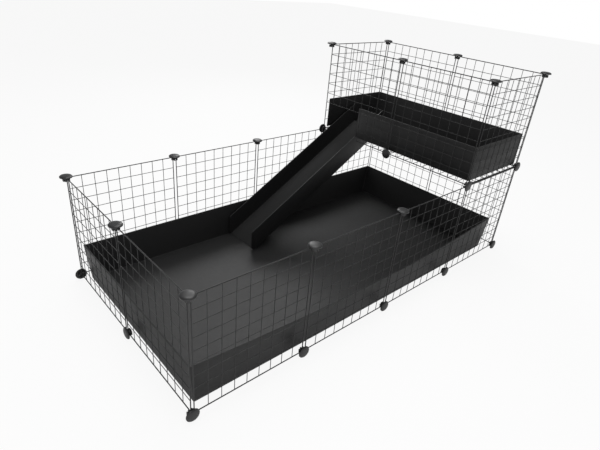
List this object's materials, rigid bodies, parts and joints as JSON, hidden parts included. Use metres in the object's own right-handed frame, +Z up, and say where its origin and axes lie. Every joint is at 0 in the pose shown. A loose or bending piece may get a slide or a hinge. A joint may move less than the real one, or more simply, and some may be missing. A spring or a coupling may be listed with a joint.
{
  "type": "modular guinea pig cage",
  "caption": "Open-topped wire grid pen with a plastic base tray, a raised loft tray and a channel ramp that lifts.",
  "frame": {"origin": "on the floor under the middle of the cage", "axes": "+X along the length towards the loft, +Y towards the back, +Z up"},
  "size_m": [1.506, 0.772, 0.7449],
  "materials": {
    "coated_wire": "black powder coat",
    "corrugated_board": "satin extruded sheet",
    "clip_plastic": "satin moulded"
  },
  "bodies": {
    "cage": {"back_panel_1": "coated_wire", "back_panel_2": "coated_wire", "back_panel_3": "coated_wire", "back_panel_4": "coated_wire", "base_tray": "corrugated_board", "foot_clip_back_1": "clip_plastic", "foot_clip_back_2": "clip_plastic", "foot_clip_back_3": "clip_plastic", "foot_clip_back_4": "clip_plastic", "foot_clip_back_5": "clip_plastic", "foot_clip_front_1": "clip_plastic", "foot_clip_front_2": "clip_plastic", "foot_clip_front_3": "clip_plastic", "foot_clip_front_4": "clip_plastic", "foot_clip_front_5": "clip_plastic", "foot_clip_left": "clip_plastic", "foot_clip_right": "clip_plastic", "front_panel_1": "coated_wire", "front_panel_2": "coated_wire", "front_panel_3": "coated_wire", "front_panel_4": "coated_wire", "left_panel_back": "coated_wire", "left_panel_front": "coated_wire", "loft_floor_grid_back": "coated_wire", "loft_floor_grid_front": "coated_wire", "loft_panel_back": "coated_wire", "loft_panel_front": "coated_wire", "loft_panel_left_front": "coated_wire", "loft_panel_left_gate": "coated_wire", "loft_panel_right_back": "coated_wire", "loft_panel_right_front": "coated_wire", "loft_tray": "corrugated_board", "rail_clip_back_1": "clip_plastic", "rail_clip_back_2": "clip_plastic", "rail_clip_back_3": "clip_plastic", "rail_clip_back_4": "clip_plastic", "rail_clip_back_5": "clip_plastic", "rail_clip_front_1": "clip_plastic", "rail_clip_front_2": "clip_plastic", "rail_clip_front_3": "clip_plastic", "rail_clip_front_4": "clip_plastic", "rail_clip_front_5": "clip_plastic", "rail_clip_left": "clip_plastic", "rail_clip_loft": "clip_plastic", "rail_clip_right": "clip_plastic", "ramp_flap": "corrugated_board", "right_panel_back": "coated_wire", "right_panel_front": "coated_wire", "top_clip_left_back": "clip_plastic", "top_clip_left_front": "clip_plastic", "top_clip_left_middle": "clip_plastic", "top_clip_right_back": "clip_plastic", "top_clip_right_front": "clip_plastic", "top_clip_right_middle": "clip_plastic"},
    "ramp": {"ramp": "corrugated_board"}
  },
  "joints": [
    {"name": "ramp_lift", "type": "hinge", "parent": "cage", "child": "ramp", "pos_m": [0.546, 0.268, 0.3986], "axis": [0, 1, 0], "range_deg": [0, 30]}
  ]
}
